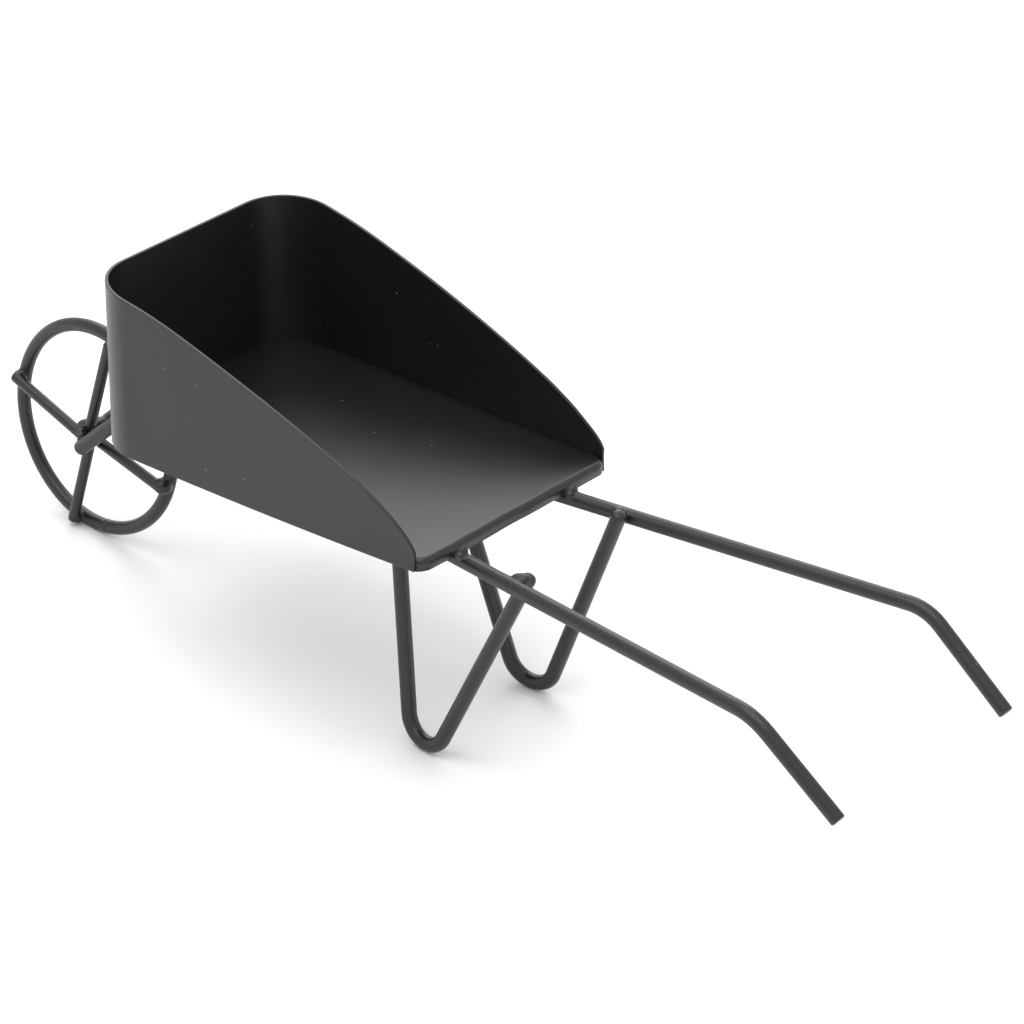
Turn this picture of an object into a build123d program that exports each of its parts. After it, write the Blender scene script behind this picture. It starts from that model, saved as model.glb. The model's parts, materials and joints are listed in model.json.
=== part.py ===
from build123d import *
import os
from math import atan, cos, degrees, radians, sin, tan

# Miniature wheelbarrow in black painted steel wire and sheet.
#
# A U-shaped sheet wall and a lipped floor stand on two long bent rods. Behind, the rods are the
# handles. In front, they drop beside a wire wheel, which turns on a pin between their ends. Two
# V-shaped legs of the same rod hold up the rear. Everything but the wheel is welded together.
#
# Frame: millimetres, +X towards the wheel, +Y to the left, +Z up. The origin is on the ground,
# under the middle of the whole object's box.

# Stock
rod_d = 2.7             # handle rods and legs
rim_wire_d = 2.5        # wheel ring
spoke_d = 2.0
sheet_t = 0.6

# Tray, in its own frame: x = 0 at the ends of the side walls, z = 0 at their lower edge
tray_length = 74.0
tray_rear_width = 48.4
tray_front_width = 51.0
tray_corner_r = 10.0    # outside, in plan
wall_height = 30.7      # of the level front wall
wall_tail_height = 3.4  # of the side walls' rear ends
wall_knee = (14.0, 13.6)     # where the top edge leaves its rear curve
wall_shoulder = (60.0, 29.0)  # where it starts to level out
wall_tail_rise = (0.25, 1.0)  # the top edge's direction at its rear end
wall_front_rise = (1.0, 0.02)
wall_tail_round = 0.3   # lower rear corners of the side walls
floor_height = 2.2      # top of the floor over the wall's lower edge
floor_lip_reach = 1.5   # of the rolled rear lip past the walls' ends
floor_lip_r = 1.1       # outside of the roll
floor_corner_r = 3.0    # rear corners, in plan
floor_lip_end = 0.5     # of the rolled edge past the corners' arcs
floor_gap = 0.04        # between the floor's edge and the wall

# How the tray sits: its rear lower edge is this high, and it slopes down towards the wheel
tray_rear_z = 42.2
tray_slope = 3.5

# Handles
handle_bend_x = -70.3   # from the tray's rear edge
handle_bend_y = 22.6
handle_bend_r = 10.0
grip_run = 21.4         # from the bend's corner to the handle's end
grip_drop = 34.0        # of the grip below level
grip_toe_in = 0.6       # sideways, over the grip
rod_front_y = 3.8       # where the rods turn down in front of the tray
rod_end_round = 0.35

# Fork and wheel
wheel_x = 97.1          # axle from the tray's rear edge
wheel_ring_r = 19.0     # centre of the ring's wire
wheel_lean = 3.0        # the wheel's top leans to the right
wheel_toe = -2.0
ring_offset_y = -0.8    # the ring hangs to the right of the hub's middle
fork_drop = 45.5        # of the fork below level
fork_end_y = 4.5
fork_bend_r = 7.0
fork_below_axle = {"left": 2.1, "right": -0.2}  # each rod's centre to the axle's centre
fork_past_axle = {"left": 0.8, "right": 1.2}    # each rod's end beyond the axle
hub_d = 3.0
hub_length = 4.4
axle_d = 1.8
axle_clearance = 0.07   # in radius
axle_seat = 0.45        # pin's reach past the rods' inner faces
# Each spoke's direction outwards, how far its line passes from the axle, and where it starts
spoke_lines = {"front": (14.6, -1.85, 1.2), "rear": (189.7, 0.5, 0.5),
               "top": (101.7, 0.35, 0.5), "bottom": (281.3, -1.15, 0.9)}
spoke_overrun = 0.6     # past the centre of the ring's wire
spoke_end_round = 0.6
rim_seam_angle = 258.0
rim_seam_gap = 0.5

# Legs
leg_x = {"left": 7.1, "right": 5.7}    # the V's sharp corner, from the tray's rear edge
leg_y = {"left": 13.8, "right": 15.2}
leg_front_rake = {"left": 11.9, "right": 16.7}
leg_rear_rake = {"left": 23.2, "right": 20.0}
leg_knob = {"left": 0.2, "right": 0.7}  # the rear strand's end above the handle rod's top
leg_bend_r = 4.7
leg_settle_passes = 6   # that bring each leg's bottom down to the ground
leg_end_round = 1.0
leg_touch = 0.02        # between a leg and the rod that it is welded to
bead_gap = 0.02         # between a weld bead and what it hugs

# Weld beads, by radius
bead_tilt = (25, 10, 35)    # keeps each ball's poles off the wires that it meets
lip_bead_r = 1.25
lip_bead_drop = 0.1     # of its centre below the tray's lower edge
nose_bead_r = 1.5
leg_bead_r = 1.5
leg_bead_rise = 0.7     # from the level of the rods' centres
leg_bead_forward = 0.8  # of the rear beads, towards the tray
seam_r = 1.0            # of the stitches under the floor
seam_length = 12.0
seam_place = 0.55       # of the side stitches along the tray
front_seam_length = 4.0
rim_bead_r = 1.4
seam_bead_r = 1.4
hub_collar_r = 2.5
hub_collar_drop = 0.4   # of its centre below the axle
hub_collar_cover = 0.6  # of its left side past the spokes' centres
hub_collar_t = 2.9
axle_bead_r = 1.0
axle_bead_in = {"left": 0.4, "right": 0.0}      # of each bead over its rod's inner face

rod_r = rod_d / 2
sides = {"left": 1, "right": -1}
tray_frame = Location((0, 0, tray_rear_z), (0, tray_slope, 0))
parts = {}


def in_tray(x, y, z):
    """A point of the tray's own frame, in the object's frame."""
    return (tray_frame * Location((x, y, z))).position


def wire(points, diameter, radius=None, end_round=0.0):
    """Round stock along straight runs joined by arcs, with its end edges eased."""
    path = FilletPolyline(*points, radius=radius) if radius else Polyline(*points)
    stock = sweep(Plane(path @ 0, z_dir=path % 0) * Circle(diameter / 2), path=path)
    if end_round:
        ends = [e for e in stock.edges() if e.geom_type == GeomType.CIRCLE]
        tips = [e for e in ends if min((e.arc_center - path @ 0).length,
                                       (e.arc_center - path @ 1).length) < 0.01]
        stock = fillet(tips, end_round)
    return stock


def bead(centre, radius, *welded):
    """A weld bead: a ball that hugs the pieces it joins, without what they fill of it."""
    blob = Pos(*centre) * Rotation(*bead_tilt) * Sphere(radius)
    for piece in welded:
        blob = blob - piece
    return blob


def biggest(shape):
    """The largest solid of a cut shape."""
    return max(shape.solids(), key=lambda solid: solid.volume)


# --- Tray wall: one strip of sheet, bent round two corners, its top edge falling to the rear
def tray_plan(inset, rear):
    """The tray's outline seen from above, inset from the outside and open-ended at the rear."""
    taper = (tray_front_width - tray_rear_width) / 2 / tray_length
    front = tray_length - inset
    half_rear = tray_rear_width / 2 + taper * rear - inset
    half_front = tray_front_width / 2 - inset
    plan = make_face(Polyline((rear, half_rear), (front, half_front), (front, -half_front),
                              (rear, -half_rear), close=True))
    corners = plan.vertices().filter_by(lambda v: v.X > front - 0.1)
    return fillet(corners, tray_corner_r - inset)


side_outline = make_face(
    Line((0, 0), (0, wall_tail_height))
    + Spline((0, wall_tail_height), wall_knee, wall_shoulder, (tray_length, wall_height),
             tangents=(wall_tail_rise, wall_front_rise))
    + Line((tray_length, wall_height), (tray_length, 0))
    + Line((tray_length, 0), (0, 0)))
side_prism = extrude(Plane.XZ * side_outline, tray_front_width, both=True)
tray_wall = extrude(tray_plan(0, 0), wall_height) - extrude(tray_plan(sheet_t, -1), wall_height)
tray_wall = tray_wall & side_prism
tail_corners = [e for e in tray_wall.edges().filter_by(Axis.Y, tolerance=3)
                if e.center().X < sheet_t / 2 and e.center().Z < sheet_t / 2]
tray_wall = fillet(tail_corners, wall_tail_round)
parts["tray_wall"] = tray_frame * tray_wall

# --- Tray floor: a plate inside the wall. Behind the wall's ends its rear edge is rolled down into a
# lip, which runs round both rear corners to the wall's ends
floor_inset = sheet_t + floor_gap
lip_end = floor_corner_r - floor_lip_reach + floor_lip_end
behind_wall = Pos(-tray_length / 2 - floor_gap, 0, floor_height / 2) * Box(
    tray_length, 2 * tray_front_width, floor_height)


def rear_block(inset, height, roll):
    """The floor's rear end as a solid block, its upper edge rounded round both corners."""
    plan = tray_plan(inset, -floor_lip_reach + inset) & Pos(lip_end - tray_length / 2, 0) * Rectangle(
        tray_length, 2 * tray_front_width)
    plan = fillet(plan.vertices().sort_by(Axis.X)[:2], floor_corner_r - inset)
    block = extrude(plan, height)
    upper = block.faces().sort_by(Axis.Z)[-1].edges().sort_by(Axis.X)
    return fillet(upper[:-1], roll)


tray_floor = rear_block(0, floor_height, floor_lip_r) & (
    extrude(tray_plan(floor_inset, -floor_lip_reach), floor_height) + behind_wall)
tray_floor = tray_floor + extrude(tray_plan(floor_inset, lip_end), floor_height)
under_floor = rear_block(floor_inset, floor_height - sheet_t, floor_lip_r - sheet_t)
under_floor = under_floor + extrude(tray_plan(0, lip_end), floor_height - sheet_t)
tray_floor = tray_floor - under_floor
parts["tray_floor"] = tray_frame * tray_floor

# --- Axle: its centre, and its direction, which the wheel's lean and toe turn off square
axle_z = (rim_wire_d / 2 + wheel_ring_r * cos(radians(wheel_lean))
          - ring_offset_y * sin(radians(wheel_lean)))
wheel_frame = Location((wheel_x, 0, axle_z), (0, 0, wheel_toe)) * Rotation(wheel_lean, 0, 0)

# --- Two handle rods: grip, bend, long run under the tray, bend, fork end beside the wheel
under_z = tray_rear_z - rod_r / cos(radians(tray_slope))
fall = tan(radians(tray_slope))
steep = tan(radians(fork_drop))
handle_bend_z = under_z - fall * handle_bend_x
fork_way = Vector(cos(radians(fork_drop)), 0, -sin(radians(fork_drop)))
fork_down = Vector(-sin(radians(fork_drop)), 0, -cos(radians(fork_drop)))


def fork_foot(name):
    """The point of a fork rod's centre line that is nearest to the axle, in the middle plane."""
    return Vector(wheel_x, 0, axle_z) + fork_down * fork_below_axle[name]


def fork_bend(name):
    """The sharp corner between a rod's run under the tray and its fork run."""
    foot = fork_foot(name)
    x = (foot.Z + steep * foot.X - under_z) / (steep - fall)
    return Vector(x, sides[name] * rod_front_y, under_z - fall * x)


def rod_y(x, name):
    """Signed distance of a handle rod's centre from the middle plane, between its two bends."""
    run = fork_bend(name).X - handle_bend_x
    return sides[name] * (handle_bend_y - (handle_bend_y - rod_front_y) * (x - handle_bend_x) / run)


def handle_rod(name, swell=0.0):
    """One rod from grip to fork end; swell makes it thicker, to cut the beads clear of it."""
    side = sides[name]
    tip = (handle_bend_x - grip_run * cos(radians(grip_drop)), side * (handle_bend_y - grip_toe_in),
           handle_bend_z - grip_run * sin(radians(grip_drop)))
    fork_tip = fork_foot(name) + fork_way * fork_past_axle[name] + Vector(0, side * fork_end_y, 0)
    points = [tip, (handle_bend_x, side * handle_bend_y, handle_bend_z), fork_bend(name), fork_tip]
    ease = 0 if swell else rod_end_round
    return wire(points, rod_d + 2 * swell, [handle_bend_r, fork_bend_r], ease)


# --- Two legs: one bent rod each, its ends welded to the inner side of the handle rod
def leg_end(name, rake, corner_z):
    """Where a strand that leaves the sharp corner at this rake passes just inside the rod."""
    rise = (under_z - fall * leg_x[name] - corner_z) / (1 + fall * tan(radians(rake)))
    x = leg_x[name] + tan(radians(rake)) * rise
    splay = atan(abs(rod_y(0, name) - rod_y(1, name)))
    beside_rod = rod_d / cos(splay) + leg_touch
    return Vector(x, rod_y(x, name) - sides[name] * beside_rod, corner_z + rise)


def leg_points(name, corner_z):
    """A leg's sharp corner and where its front and rear strands pass the rod."""
    corner = Vector(leg_x[name], sides[name] * leg_y[name], corner_z)
    front = leg_end(name, leg_front_rake[name], corner_z)
    rear = leg_end(name, -leg_rear_rake[name], corner_z)
    return corner, front, rear


def leg_lowest(name, corner_z):
    """Height of the lowest point of the leg's rounded bottom."""
    corner, front, rear = leg_points(name, corner_z)
    front_way = (front - corner).normalized()
    rear_way = (rear - corner).normalized()
    half = radians(front_way.get_angle(rear_way)) / 2
    centre = corner + (front_way + rear_way).normalized() * (leg_bend_r / sin(half))
    normal = front_way.cross(rear_way).normalized()
    return centre.Z - leg_bend_r * (1 - normal.Z ** 2) ** 0.5 - rod_r


leg_corner_z = {}
for name in sides:
    leg_corner_z[name] = -leg_bend_r
    for _ in range(leg_settle_passes):
        leg_corner_z[name] -= leg_lowest(name, leg_corner_z[name])


def leg(name, swell=0.0):
    """The V: both strands pass the rod just inside it, and rise a little further."""
    corner, front, rear = leg_points(name, leg_corner_z[name])
    rear_tip = rear + (rear - corner).normalized() * (rod_r + leg_knob[name])
    front_tip = front + (front - corner).normalized() * rod_r
    ease = 0 if swell else leg_end_round
    return wire([front_tip, corner, rear_tip], rod_d + 2 * swell, leg_bend_r, ease)


for name in sides:
    parts["handle_rod_" + name] = handle_rod(name)
    parts["leg_" + name] = leg(name)

# --- Axle pin: it lies on top of the left fork end and butts against the right one's inner side
inner_face_y = fork_end_y - rod_r
pin_left_y = inner_face_y + axle_seat
pin_right_y = -inner_face_y - axle_seat
axle_pin = wheel_frame * Pos(0, (pin_left_y + pin_right_y) / 2, 0) * Rotation(90, 0, 0) * Cylinder(
    axle_d / 2, pin_left_y - pin_right_y)
for name in sides:
    axle_pin = axle_pin - parts["handle_rod_" + name]
parts["axle_pin"] = axle_pin

# --- Wheel, about its own axle along Y: hub sleeve, ring with one butt weld, four spokes
along_axle = Rotation(90, 0, 0)
hub_core = along_axle * Cylinder(hub_d / 2, hub_length)
hub = hub_core - along_axle * Cylinder(axle_d / 2 + axle_clearance, hub_length)
hub_room = along_axle * Cylinder(hub_d / 2, hub_length + 2 * spoke_d)
thick_hub = along_axle * Cylinder(hub_d / 2 + bead_gap, hub_length)
whole_ring = Pos(0, ring_offset_y, 0) * along_axle * Torus(wheel_ring_r, rim_wire_d / 2)
thick_ring = Pos(0, ring_offset_y, 0) * along_axle * Torus(wheel_ring_r, rim_wire_d / 2 + bead_gap)
seam_place_on_ring = Rotation(0, -rim_seam_angle, 0) * Location((wheel_ring_r, ring_offset_y, 0))
ring = whole_ring - seam_place_on_ring * Box(2 * rim_wire_d, 2 * rim_wire_d, rim_seam_gap)
wheel_parts = {"hub_sleeve": hub, "wheel_rim": ring}
spoke_y = ring_offset_y + (rim_wire_d + spoke_d) / 2
spoke_end = wheel_ring_r + spoke_overrun
thick_spokes = []
for name, (way, miss, start) in spoke_lines.items():
    turn = Rotation(0, -way, 0)
    spoke = turn * Pos(0, spoke_y, miss) * wire([(start, 0, 0), (spoke_end, 0, 0)], spoke_d)
    far_end = spoke.edges().filter_by(GeomType.CIRCLE).sort_by(
        lambda e: (e.arc_center.X ** 2 + e.arc_center.Z ** 2) ** 0.5)[-1]
    spoke = fillet(far_end, spoke_end_round) - hub_room
    for other in thick_spokes:
        spoke = spoke - other
    thick = turn * Pos((start + spoke_end) / 2, spoke_y, miss) * Rotation(0, 90, 0) * Cylinder(
        spoke_d / 2 + bead_gap, spoke_end - start)
    thick_spokes.append(thick)
    wheel_parts["spoke_" + name] = biggest(spoke)
    at_rim = turn * Location(((wheel_ring_r ** 2 - miss ** 2) ** 0.5, ring_offset_y + rim_wire_d / 2, miss))
    wheel_parts["rim_weld_" + name] = bead(at_rim.position, rim_bead_r, thick, thick_ring)
collar_y = spoke_y + hub_collar_cover - hub_collar_t / 2
collar = bead((0, spoke_y, -hub_collar_drop), hub_collar_r, thick_hub, *thick_spokes)
collar = collar & Pos(0, collar_y, 0) * Box(3 * hub_collar_r, hub_collar_t, 3 * hub_collar_r)
wheel_parts["hub_weld"] = biggest(collar)
wheel_parts["rim_seam_weld"] = bead(seam_place_on_ring.position, seam_bead_r, ring)
for name, shape in wheel_parts.items():
    parts[name] = wheel_frame * shape

# --- Weld beads of the frame
wall_x = tray_length - sheet_t / 2
floor_cutter = tray_frame * (tray_floor + Pos(0, 0, -bead_gap) * tray_floor)
wall_cutter = tray_frame * (tray_wall + Pos(0, 0, -bead_gap) * tray_wall)
axle_bead_at = {"left": (inner_face_y + axle_bead_r - axle_bead_in["left"], rod_r),
                "right": (-inner_face_y + axle_bead_in["right"], axle_d / 2)}
for name, side in sides.items():
    rod = handle_rod(name, bead_gap)
    strand = leg(name, bead_gap)
    at_lip = in_tray(-floor_lip_reach, rod_y(-floor_lip_reach, name), -lip_bead_drop)
    at_wall = in_tray(wall_x, rod_y(wall_x, name), -lip_bead_drop)
    parts["lip_weld_" + name] = biggest(bead(at_lip, lip_bead_r, rod, floor_cutter))
    parts["nose_weld_" + name] = biggest(bead(at_wall, nose_bead_r, rod, wall_cutter))
    _, front, rear = leg_points(name, leg_corner_z[name])
    rear_mid = rear + Vector(leg_bead_forward, side * rod_r, leg_bead_rise)
    front_mid = front + Vector(0, side * rod_r, -leg_bead_rise)
    parts["leg_rear_weld_" + name] = bead(rear_mid, leg_bead_r, rod, strand)
    parts["leg_front_weld_" + name] = bead(front_mid, leg_bead_r, rod, strand, floor_cutter)
    bead_y, drop = axle_bead_at[name]
    at_axle = (wheel_frame * Location((0, bead_y, 0))).position + fork_down * drop
    parts["axle_weld_" + name] = biggest(bead(at_axle, axle_bead_r, rod, axle_pin))

# --- Stitches of weld under the floor, one along each side wall and one along the front
seam_top = floor_height - sheet_t - bead_gap
seam_room = extrude(tray_plan(sheet_t + bead_gap, 0), seam_top)
taper = atan((tray_front_width - tray_rear_width) / 2 / tray_length)
seam_x = tray_length * seam_place
seam_y = tray_rear_width / 2 + seam_x * tan(taper) - sheet_t
stitch = Rotation(0, 90, 0) * Cylinder(seam_r, seam_length)
front_stitch = Rotation(90, 0, 0) * Cylinder(seam_r, front_seam_length)
stitches = {
    "floor_weld_left": Pos(seam_x, seam_y, seam_top) * Rotation(0, 0, degrees(taper)) * stitch,
    "floor_weld_right": Pos(seam_x, -seam_y, seam_top) * Rotation(0, 0, -degrees(taper)) * stitch,
    "floor_weld_front": Pos(tray_length - sheet_t, 0, seam_top) * front_stitch}
for name, shape in stitches.items():
    parts[name] = tray_frame * (shape & seam_room)

# --- Put the origin under the middle of the whole object's box, and write each piece
boxes = [shape.bounding_box() for shape in parts.values()]
middle_x = (min(b.min.X for b in boxes) + max(b.max.X for b in boxes)) / 2
os.makedirs("parts", exist_ok=True)
for name, shape in parts.items():
    export_step(Pos(-middle_x, 0, 0) * shape, "parts/" + name + ".step")
print("moved in x by", round(-middle_x, 4), "axle height", round(axle_z, 4))
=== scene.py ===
import json
from math import cos, pi, radians, sin, tan

import bmesh
import bpy
from mathutils import Matrix, Vector
from mathutils.geometry import interpolate_bezier


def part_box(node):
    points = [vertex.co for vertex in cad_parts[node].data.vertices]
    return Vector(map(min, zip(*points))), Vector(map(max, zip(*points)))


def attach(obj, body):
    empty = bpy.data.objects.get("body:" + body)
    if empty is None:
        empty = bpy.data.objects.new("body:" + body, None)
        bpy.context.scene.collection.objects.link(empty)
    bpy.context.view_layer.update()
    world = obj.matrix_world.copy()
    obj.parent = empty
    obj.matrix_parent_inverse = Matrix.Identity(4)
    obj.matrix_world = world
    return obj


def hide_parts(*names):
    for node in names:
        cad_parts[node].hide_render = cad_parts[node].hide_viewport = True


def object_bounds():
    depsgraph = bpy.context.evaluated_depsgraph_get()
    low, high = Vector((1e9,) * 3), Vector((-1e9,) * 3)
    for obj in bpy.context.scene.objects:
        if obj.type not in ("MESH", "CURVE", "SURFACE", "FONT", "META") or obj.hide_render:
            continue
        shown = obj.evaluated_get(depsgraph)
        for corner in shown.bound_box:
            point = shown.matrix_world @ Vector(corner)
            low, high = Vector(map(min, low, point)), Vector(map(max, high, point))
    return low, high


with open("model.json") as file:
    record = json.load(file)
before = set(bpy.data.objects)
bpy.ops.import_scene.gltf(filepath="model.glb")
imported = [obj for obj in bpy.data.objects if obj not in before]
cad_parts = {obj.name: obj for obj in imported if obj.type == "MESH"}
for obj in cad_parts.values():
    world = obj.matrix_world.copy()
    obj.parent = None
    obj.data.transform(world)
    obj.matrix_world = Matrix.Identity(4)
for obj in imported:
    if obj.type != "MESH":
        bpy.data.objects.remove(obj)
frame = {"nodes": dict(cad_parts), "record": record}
nodes = frame["nodes"]
cad_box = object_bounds()
mm = 0.001

# --- Camera
# A long lens that looks down on the barrow from behind its left handle. It is turned a little about
# its own line of sight, as a hand-held camera is.
aim = Vector((-0.006411, -0.009948, 0.036027))
camera_azimuth = radians(-50.4002)
camera_rise = radians(30.7028)
camera_roll = radians(2.6229)
camera_range = 0.99953
backward = Vector((-cos(camera_rise) * cos(camera_azimuth), -cos(camera_rise) * sin(camera_azimuth),
                   sin(camera_rise)))
level = (-backward).cross(Vector((0, 0, 1))).normalized()
upright = level.cross(-backward)
turned = level * cos(camera_roll) + upright * sin(camera_roll)
raised = upright * cos(camera_roll) - level * sin(camera_roll)
lens = bpy.data.cameras.new("camera")
lens.lens = 207.285
lens.sensor_width = 36
lens.clip_start = 0.01
camera = bpy.data.objects.new("camera", lens)
bpy.context.collection.objects.link(camera)
camera.matrix_world = Matrix.LocRotScale(
    aim + backward * camera_range,
    Matrix((turned, raised, backward)).transposed().to_quaternion(), None)
bpy.context.scene.camera = camera

# --- Handle rods and legs
# Four lengths of drawn steel wire, bent cold round a former and cut square, then powder coated
# satin black after welding. They keep the frame's own shapes, and only get their coat here.


def colour(hex_code):
    """An sRGB hex colour as the linear colour that a shader takes."""
    channels = [int(hex_code[i:i + 2], 16) / 255 for i in (1, 3, 5)]
    return [c / 12.92 if c <= 0.04045 else ((c + 0.055) / 1.055) ** 2.4 for c in channels] + [1]


def add(tree, kind, settings, links):
    """Add a shader node; settings and links are given by property name, or by socket name or number."""
    node = tree.nodes.new(kind)
    for name, value in settings.items():
        if isinstance(name, int) or name in node.inputs.keys():
            node.inputs[name].default_value = value
        else:
            setattr(node, name, value)
    for name, source in links.items():
        tree.links.new(source, node.inputs[name])
    return node


def powder_coat(name, tone, cloud_tone, roughness, peel_depth, speck_share):
    """Satin black powder coat, baked on steel: low orange peel, faint clouding, a few light specks.

    It is a black resin with a soft, wide highlight, so form shows by its reflections alone.
    """
    coat = bpy.data.materials.new(name)
    coat.use_nodes = True
    tree = coat.node_tree
    shader = tree.nodes["Principled BSDF"]
    place = add(tree, "ShaderNodeTexCoord", {}, {}).outputs["Object"]

    # clouding from uneven film, about 14 mm across
    clouds = add(tree, "ShaderNodeTexNoise", {"Scale": 1 / (14 * mm), "Detail": 3.0}, {"Vector": place})
    cloud = clouds.outputs["Fac"]
    tint = add(tree, "ShaderNodeMix", {"data_type": "RGBA", 6: colour(tone), 7: colour(cloud_tone)},
               {"Factor": cloud})
    # dust nibs caught in the coat: a few in a hundred of the 1.6 mm cells hold one, 0.35 mm across
    cells = add(tree, "ShaderNodeTexVoronoi", {"Scale": 1 / (1.6 * mm)}, {"Vector": place})
    lot = add(tree, "ShaderNodeTexWhiteNoise", {}, {"Vector": cells.outputs["Position"]})
    drawn = add(tree, "ShaderNodeMath", {"operation": "LESS_THAN", 1: speck_share},
                {0: lot.outputs["Value"]})
    spot = add(tree, "ShaderNodeMapRange", {1: 0.08, 2: 0.13, 3: 1.0, 4: 0.0},
               {0: cells.outputs["Distance"]})
    nib = add(tree, "ShaderNodeMath", {"operation": "MULTIPLY"},
              {0: spot.outputs["Result"], 1: drawn.outputs["Value"]}).outputs["Value"]
    coated = add(tree, "ShaderNodeMix", {"data_type": "RGBA", 7: colour("#68686a")},
                 {0: nib, 6: tint.outputs[2]})
    # the gloss drifts with the film's thickness
    gloss = add(tree, "ShaderNodeMapRange", {3: roughness - 0.05, 4: roughness + 0.05}, {0: cloud})
    # orange peel, 1.1 mm from crest to crest, over a fine grit of 0.25 mm
    peel = add(tree, "ShaderNodeTexNoise", {"Scale": 1 / (1.1 * mm), "Detail": 1.0}, {"Vector": place})
    grit = add(tree, "ShaderNodeTexNoise", {"Scale": 1 / (0.25 * mm), "Detail": 2.0}, {"Vector": place})
    rolling = add(tree, "ShaderNodeBump", {"Distance": peel_depth}, {"Height": peel.outputs["Fac"]})
    gritty = add(tree, "ShaderNodeBump", {"Distance": peel_depth * 0.22},
                 {"Height": grit.outputs["Fac"], "Normal": rolling.outputs["Normal"]})
    raised_nib = add(tree, "ShaderNodeBump", {"Distance": 0.03 * mm},
                     {"Height": nib, "Normal": gritty.outputs["Normal"]})
    tree.links.new(coated.outputs[2], shader.inputs["Base Color"])
    tree.links.new(gloss.outputs["Result"], shader.inputs["Roughness"])
    tree.links.new(raised_nib.outputs["Normal"], shader.inputs["Normal"])
    shader.inputs["IOR"].default_value = 1.5
    return coat


wire_coat = powder_coat("powder_coat_on_wire", "#161617", "#1c1c1d", 0.35, 0.016 * mm, 0.04)


def dress(node_name, coat):
    """Give a CAD node its finish."""
    mesh = nodes[node_name].data
    mesh.materials.clear()
    mesh.materials.append(coat)


for side in ("left", "right"):
    dress("handle_rod_" + side, wire_coat)
    dress("leg_" + side, wire_coat)

# --- Tray wall
# One strip of 0.6 mm mild steel sheet, sheared to a falling top edge and folded by hand round two
# corners of 10 mm radius. The shear leaves its edges square, and the coat rounds them.
sheet_thickness = 0.6 * mm
wall_length = 74.0 * mm
wall_rear_half = 24.2 * mm
wall_front_half = 25.5 * mm
wall_corner = 10.0 * mm
wall_rows = 14
wall_edge_ease = 0.11 * mm
tray_up = Vector(next(m["axis"] for m in frame["record"]["mounts"] if m["name"] == "tray_floor_top"))
tray_slope = Vector((0, 0, 1)).angle(tray_up)
wall_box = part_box("tray_wall")
tray_origin = Vector((wall_box[0][0], 0, wall_box[0][2] + wall_length * sin(tray_slope)))
tray_place = Matrix.Translation(tray_origin) @ Matrix.Rotation(tray_slope, 4, "Y")

# the top edge: steep at the tail, then a long even fall, then level across the front
edge_spans = (((0.0, 3.4), (1.0, 6.2), (6.3, 9.8), (12.3, 12.75)),
              ((12.3, 12.75), (24.3, 18.25), (38.0, 22.9), (51.0, 26.7)),
              ((51.0, 26.7), (58.5, 28.9), (66.0, 30.3), (74.0, 30.5)))
top_edge = [point * mm for span in edge_spans
            for point in interpolate_bezier(*[Vector((x, 0, z)) for x, z in span], 24)]
edge_lean = 0.2 * mm        # towards the front, the left stands this much over the middle
lower_bow = 0.45 * mm       # how far the left wall's lower edge hangs at its middle
tail_flare = 3.5 * mm       # the stretch of the right wall's end that was knocked outwards
tail_knock = 0.35 * mm      # how far out it stands
tail_hang = 0.8 * mm        # how far its lower corner hangs
wave_depth = 0.10 * mm      # hand-folded sheet is never quite flat
wave_length = 11 * mm       # for each radian of the wave
tail_steps = 28
side_steps = 40
corner_steps = 22
front_steps = 26


def edge_height(x):
    """Height of the wall's top edge over its lower edge, this far from the tail."""
    for low, high in zip(top_edge, top_edge[1:]):
        if x <= high.x:
            share = max(0.0, (x - low.x) / max(high.x - low.x, 1e-9))
            return low.z + (high.z - low.z) * share
    return top_edge[-1].z


def run(strip, start, way, length, steps):
    """Draw a straight row of vertices onwards from one vertex, and return the last."""
    made = bmesh.ops.spin(strip, geom=[start], cent=(0, 0, 0), axis=(0, 0, 1), angle=0,
                          dvec=way * (length / steps), steps=steps)
    return made["geom_last"][0]


def fold(strip, start, centre, angle, steps):
    """Draw an arc of vertices round an upright axis, and return the last."""
    made = bmesh.ops.spin(strip, geom=[start], cent=centre, axis=(0, 0, 1), angle=angle, steps=steps)
    return made["geom_last"][0]


side_angle = (wall_front_half - wall_rear_half) / wall_length
forward = Vector((cos(side_angle), sin(side_angle), 0))
# the fold's arc touches the side at this distance short of the sharp corner
fold_reach = wall_corner * tan((pi / 2 - side_angle) / 2 + side_angle)
side_run = wall_length / cos(side_angle) - fold_reach
curved_tail = 9.0 * mm
strip = bmesh.new()
tip = strip.verts.new((0, wall_rear_half, 0))
tip = run(strip, tip, forward, curved_tail, tail_steps)
tip = run(strip, tip, forward, side_run - curved_tail, side_steps)
inward = Vector((sin(side_angle), -cos(side_angle), 0)) * wall_corner
tip = fold(strip, tip, tip.co + inward, -(pi / 2 + side_angle), corner_steps)
tip = run(strip, tip, Vector((0, -1, 0)), 2 * tip.co.y, front_steps)
tip = fold(strip, tip, tip.co + Vector((-wall_corner, 0, 0)), -(pi / 2 + side_angle), corner_steps)
back = Vector((-forward.x, forward.y, 0))
tip = run(strip, tip, back, side_run - curved_tail, side_steps)
tip = run(strip, tip, back, curved_tail, tail_steps)
bmesh.ops.remove_doubles(strip, verts=strip.verts, dist=0.001 * mm)
bmesh.ops.spin(strip, geom=strip.verts[:] + strip.edges[:], cent=(0, 0, 0), axis=(0, 0, 1), angle=0,
               dvec=(0, 0, 1.0 / wall_rows), steps=wall_rows)
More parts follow.
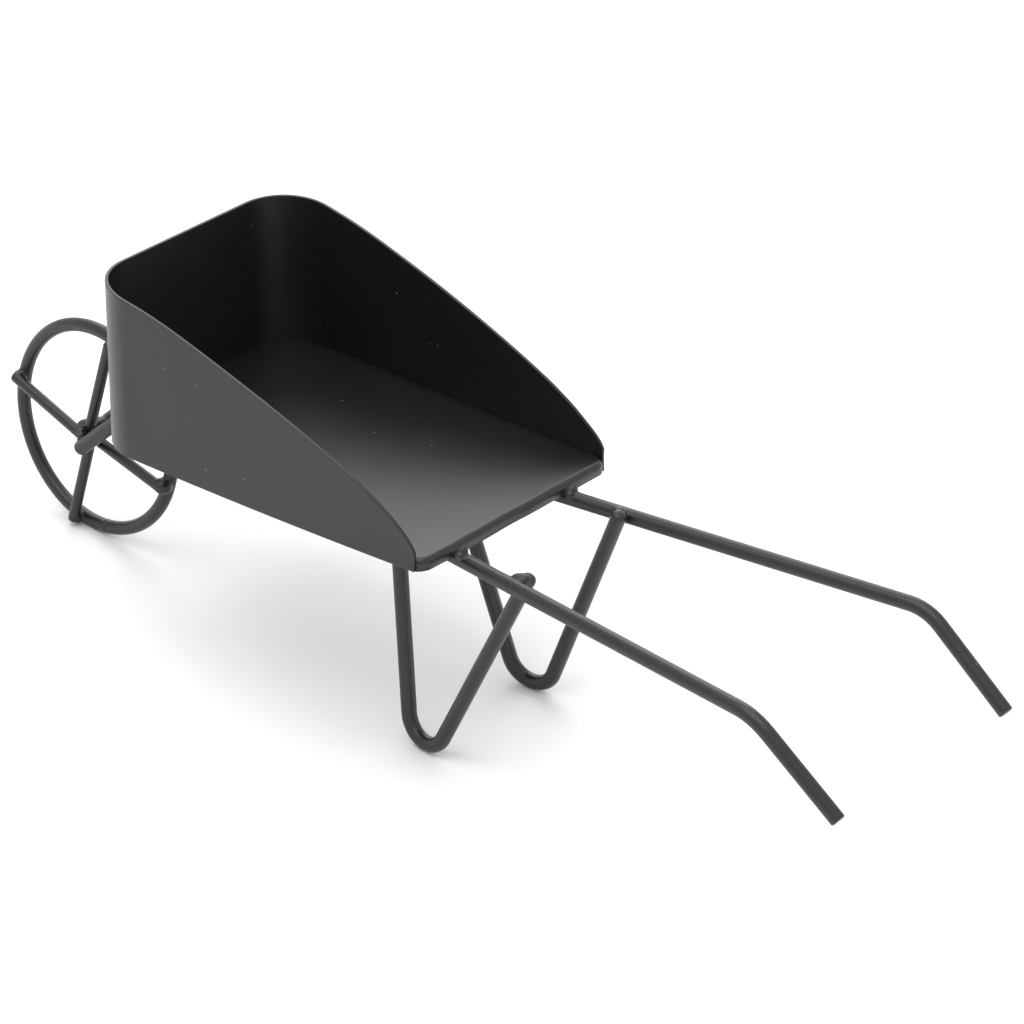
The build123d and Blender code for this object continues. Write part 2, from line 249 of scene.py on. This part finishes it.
for vertex in strip.verts:
    x, y, share = vertex.co
    settled = min(1.0, max(0.0, (x - 40 * mm) / (20 * mm)))
    top = edge_height(x) + edge_lean * settled * y / wall_rear_half
    sag = lower_bow * sin(pi * min(1.0, max(0.0, x / wall_length))) if y > 0 else 0.0
    vertex.co.z = -sag * (1 - share) + top * share
    if x < wall_length - wall_corner:
        wave = wave_depth * sin(x / wave_length + 1.3) * sin(pi * share)
        vertex.co.y -= wave if y > 0 else -wave
    if y < 0 and x < tail_flare:
        vertex.co.y -= tail_knock * (1 - x / tail_flare)
        vertex.co.z -= tail_hang * (1 - x / tail_flare) ** 2 * (1 - share)
for face in strip.faces:
    face.smooth = True
bmesh.ops.recalc_face_normals(strip, faces=strip.faces)
middle = Vector((wall_length / 2, 0, 10 * mm))
if sum(1 if f.normal.dot(f.calc_center_median() - middle) > 0 else -1 for f in strip.faces) < 0:
    bmesh.ops.reverse_faces(strip, faces=strip.faces)
strip.normal_update()
bmesh.ops.transform(strip, matrix=tray_place, verts=strip.verts)


def finish_mesh(name, shape, coat):
    """Turn a bmesh into an object at the origin with its finish."""
    mesh = bpy.data.meshes.new(name)
    shape.to_mesh(mesh)
    shape.free()
    piece = bpy.data.objects.new(name, mesh)
    bpy.context.collection.objects.link(piece)
    mesh.materials.append(coat)
    return piece


sheet_coat = powder_coat("powder_coat_on_sheet", "#141415", "#19191a", 0.36, 0.012 * mm, 0.045)
wall = finish_mesh("folded_wall", strip, sheet_coat)
thickness = wall.modifiers.new("sheet", "SOLIDIFY")
thickness.thickness = sheet_thickness
thickness.offset = -1
ease = wall.modifiers.new("eased_edges", "BEVEL")
ease.width = wall_edge_ease
ease.segments = 3
ease.limit_method = "ANGLE"
ease.angle_limit = radians(50)
even = wall.modifiers.new("even_shading", "WEIGHTED_NORMAL")
even.keep_sharp = False
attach(wall, "frame")
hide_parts("tray_wall")

# --- Tray floor
# A plate of the same sheet inside the wall. Its rear edge is rolled down over a bar into a lip, which
# the welding heat has pulled into slight waves.
lip_zone = 3.2 * mm     # from the rear edge, where the plate is rolled
lip_wave = 0.10 * mm
lip_rows = 4            # cuts along the lip, so that it can wave
corner_draw = 0.75 * mm     # how far the right corner is drawn in, clear of the wall's end
corner_zone = 2.5 * mm
cut_step = 1.0 * mm


def loose_copy(piece):
    """A merged copy of a piece's mesh, finished modifiers and all, as a bmesh."""
    graph = bpy.context.evaluated_depsgraph_get()
    copy = bmesh.new()
    copy.from_object(piece, graph)
    bmesh.ops.remove_doubles(copy, verts=copy.verts, dist=0.002 * mm)
    return copy


plate = loose_copy(nodes["tray_floor"])
bmesh.ops.dissolve_limit(plate, angle_limit=radians(0.4), verts=plate.verts, edges=plate.edges)
floor_low, floor_high = [Vector(corner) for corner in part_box("tray_floor")]
cuts = int((floor_high.y - floor_low.y) / cut_step)
for i in range(1, cuts):
    bmesh.ops.bisect_plane(plate, geom=plate.verts[:] + plate.edges[:] + plate.faces[:], dist=0.001 * mm,
                           plane_co=(0, floor_low.y + i * cut_step, 0), plane_no=(0, 1, 0))
for i in range(1, lip_rows):
    bmesh.ops.bisect_plane(plate, geom=plate.verts[:] + plate.edges[:] + plate.faces[:], dist=0.001 * mm,
                           plane_co=(floor_low.x + i * cut_step, 0, 0), plane_no=(1, 0, 0))
bmesh.ops.triangulate(plate, faces=[f for f in plate.faces if len(f.verts) > 4])
for vertex in plate.verts:
    near = max(0.0, 1 - (vertex.co.x - floor_low.x) / lip_zone)
    middle_share = max(0.0, 1 - (abs(vertex.co.y) / floor_high.y) ** 6)
    ripple = sin(vertex.co.y / (2.9 * mm)) + 0.6 * sin(vertex.co.y / (1.7 * mm) + 0.8)
    vertex.co.x += lip_wave * near * middle_share * max(0.0, 0.6 + 0.5 * ripple)
    vertex.co.z += 0.6 * lip_wave * near * middle_share * sin(vertex.co.y / (4.1 * mm) + 2.0)
    corner = min(1.0, max(0.0, -vertex.co.y - floor_high.y + corner_zone) / corner_zone)
    vertex.co.y += corner_draw * corner * min(1.0, near * 1.6)
for face in plate.faces:
    face.smooth = True
bmesh.ops.recalc_face_normals(plate, faces=plate.faces)
lipped_floor = finish_mesh("lipped_floor", plate, sheet_coat)
even = lipped_floor.modifiers.new("even_shading", "WEIGHTED_NORMAL")
even.keep_sharp = False
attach(lipped_floor, "frame")
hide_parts("tray_floor")

# --- Wheel and axle
# A ring of wire butt welded shut, four straight wires laid on its left face, and a short sleeve that
# turns on a pin between the two fork ends. The pin is welded to both rods.
hub_coat = powder_coat("powder_coat_on_hub", "#131314", "#1a1a1b", 0.40, 0.015 * mm, 0.04)
for name in ("wheel_rim", "spoke_front", "spoke_rear", "spoke_top", "spoke_bottom"):
    dress(name, wire_coat)
for name in ("hub_sleeve", "axle_pin"):
    dress(name, hub_coat)

# --- Weld beads
# Small puddles of steel where wires and sheet meet, left as they froze. Under the coat they run into
# the pieces they join, so each is a skin over the bead and a short stretch of its neighbours. The
# stitches under the floor lie along a seam and have no such stretch.
weld_coat = powder_coat("powder_coat_on_weld", "#151516", "#1d1d1e", 0.36, 0.024 * mm, 0.04)
skin_grid = 0.13 * mm
skin_passes = 14
skin_swell = 0.045 * mm


def middle_of(node_name):
    """The middle of a node's box."""
    low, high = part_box(node_name)
    return (Vector(low) + Vector(high)) / 2


def weld_skin(name, node_name, body, neighbours, puddles, reach):
    """A skin over puddles of weld and over what its neighbours show within reach of their middle.

    Each puddle is a centre, a radius and how far it is flattened.
    """
    centre = middle_of(node_name)
    whole = bmesh.new()
    for neighbour in neighbours:
        part = loose_copy(neighbour)
        for axis in range(3):
            for sign in (1, -1):
                normal = Vector((0, 0, 0))
                normal[axis] = sign
                geometry = part.verts[:] + part.edges[:] + part.faces[:]
                bmesh.ops.bisect_plane(part, geom=geometry, dist=0.0005 * mm, clear_outer=True,
                                       plane_co=centre + normal * reach, plane_no=normal)
                open_edges = [e for e in part.edges if e.is_boundary]
                bmesh.ops.holes_fill(part, edges=open_edges, sides=0)
        part_mesh = bpy.data.meshes.new("part")
        part.to_mesh(part_mesh)
        part.free()
        whole.from_mesh(part_mesh)
        bpy.data.meshes.remove(part_mesh)
    for at, radius, flat in puddles:
        place = Matrix.Translation(at) @ Matrix.Diagonal((1, 1, flat, 1))
        bmesh.ops.create_icosphere(whole, subdivisions=3, radius=radius, matrix=place)
    rough = bpy.data.meshes.new(name)
    whole.to_mesh(rough)
    whole.free()
    piece = bpy.data.objects.new(name + "_rough", rough)
    bpy.context.collection.objects.link(piece)
    remesh = piece.modifiers.new("skin", "REMESH")
    remesh.mode = "VOXEL"
    remesh.voxel_size = skin_grid
    skin = bmesh.new()
    skin.from_object(piece, bpy.context.evaluated_depsgraph_get())
    bpy.data.objects.remove(piece)
    for _ in range(skin_passes):
        bmesh.ops.smooth_vert(skin, verts=skin.verts, factor=0.5, use_axis_x=True, use_axis_y=True,
                              use_axis_z=True)
    skin.normal_update()
    for vertex in skin.verts:
        # full over the puddle, and sunk just under the neighbours' surfaces where the skin ends
        out = (vertex.co - centre).length / reach
        vertex.co += vertex.normal * skin_swell * (1 - 2 * min(1.0, out) ** 2)
        vertex.co = [min(max(c, low), high) for c, low, high in zip(vertex.co, *cad_box)]
    for face in skin.faces:
        face.smooth = True
    piece = finish_mesh(name, skin, weld_coat)
    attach(piece, body)
    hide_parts(node_name)


# from each rear weld, the way to the leg's own end, which the weld runs along
leg_tip_way = {"left": Vector((-0.75, -0.35, 0.15)), "right": Vector((-0.3, 0.2, 0.3))}
for side in ("left", "right"):
    rod = nodes["handle_rod_" + side]
    leg = nodes["leg_" + side]
    at = middle_of("lip_weld_" + side)
    weld_skin("lip_bead_" + side, "lip_weld_" + side, "frame", [rod, lipped_floor],
              [(at + Vector((0.1, 0, 0.1)) * mm, 1.15 * mm, 0.8),
               (at + Vector((-0.4, 0.9, -0.3)) * mm, 0.75 * mm, 0.7)], 3.4 * mm)
    at = middle_of("nose_weld_" + side)
    weld_skin("nose_bead_" + side, "nose_weld_" + side, "frame", [rod, wall],
              [(at, 1.35 * mm, 0.75), (at + Vector((0, 0.8, 0)) * mm, 1.0 * mm, 0.7)], 3.6 * mm)
    at = middle_of("leg_rear_weld_" + side)
    weld_skin("leg_rear_bead_" + side, "leg_rear_weld_" + side, "frame", [rod, leg],
              [(at, 1.25 * mm, 0.85), (at + leg_tip_way[side] * 0.7 * mm, 1.25 * mm, 0.9),
               (at + leg_tip_way[side] * 1.3 * mm, 1.15 * mm, 0.9)], 5.0 * mm)
    at = middle_of("leg_front_weld_" + side)
    weld_skin("leg_front_bead_" + side, "leg_front_weld_" + side, "frame", [rod, leg],
              [(at, 1.3 * mm, 0.9)], 3.8 * mm)

rim_bead_radius = {"front": 1.3, "rear": 1.7, "top": 1.25, "bottom": 1.3}
for name, radius in rim_bead_radius.items():
    at = middle_of("rim_weld_" + name)
    weld_skin("rim_bead_" + name, "rim_weld_" + name, "wheel", [nodes["wheel_rim"], nodes["spoke_" + name]],
              [(at, radius * mm, 0.9)], 3.2 * mm)
at = middle_of("rim_seam_weld")
weld_skin("rim_seam_bead", "rim_seam_weld", "wheel", [nodes["wheel_rim"]],
          [(at, 1.3 * mm, 1.0), (at + Vector((0.2, 0.25, 0.2)) * mm, 1.2 * mm, 1.0)], 2.6 * mm)
# the welds round the pin keep their own shapes, because the wheel's has to run clear of the frame's
for name in ("hub_weld", "axle_weld_left", "axle_weld_right"):
    dress(name, weld_coat)

stitch_drops = {"left": 19, "right": 19, "front": 9}
stitch_end = 0.6 * mm       # from the seam's end to its first drop's middle
stitch_reach = 1.0          # far past a stitch's ends, so that all of it keeps its swell
for name, drops in stitch_drops.items():
    low, high = [Vector(corner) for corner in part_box("floor_weld_" + name)]
    long_axis = 1 if name == "front" else 0
    start = (low + high) / 2
    end = start.copy()
    start[long_axis] = low[long_axis] + stitch_end
    end[long_axis] = high[long_axis] - stitch_end
    if name != "front":
        start.z += (end.x - start.x) / 2 * tan(tray_slope)
        end.z -= (end.x - start.x) / 2 * tan(tray_slope)
    weld_skin("floor_bead_" + name, "floor_weld_" + name, "frame", [],
              [(start.lerp(end, i / (drops - 1)), (0.66 + 0.06 * (-1) ** i) * mm, 0.75)
               for i in range(drops)], stitch_reach)

# --- Floor and light
# A white sweep under even, soft light from a white room, with one large soft box overhead and one ahead
# of the barrow, which the tray's floor and the tops of the rods mirror.
ground = bpy.data.meshes.new("floor")
sweep = bmesh.new()
bmesh.ops.create_grid(sweep, size=3.0)
sweep.to_mesh(ground)
sweep.free()
floor = bpy.data.objects.new("floor", ground)
bpy.context.collection.objects.link(floor)
pale = bpy.data.materials.new("matt_white_sweep")
pale.use_nodes = True
pale_shader = pale.node_tree.nodes["Principled BSDF"]
pale_shader.inputs["Base Color"].default_value = colour("#f7f7f7")
pale_shader.inputs["Roughness"].default_value = 0.9
ground.materials.append(pale)

world = bpy.data.worlds.new("white_room")
bpy.context.scene.world = world
world.use_nodes = True
world.node_tree.nodes["Background"].inputs["Color"].default_value = (1, 1, 1, 1)
world.node_tree.nodes["Background"].inputs["Strength"].default_value = 1.0


def soft_box(name, at, size, power):
    """A square area lamp that faces the tray."""
    light = bpy.data.lights.new(name, "AREA")
    light.shape = "SQUARE"
    light.size = size
    light.energy = power
    lamp = bpy.data.objects.new(name, light)
    bpy.context.collection.objects.link(lamp)
    way = Vector((0, 0, 0.04)) - Vector(at)
    lamp.matrix_world = Matrix.LocRotScale(Vector(at), way.to_track_quat("-Z", "Y"), None)


soft_box("overhead_box", (0.05, 0.25, 1.1), 1.0, 6.0)
soft_box("front_box", (0.62, -0.75, 0.72), 0.9, 4.8)
bpy.context.scene.view_settings.view_transform = "Standard"
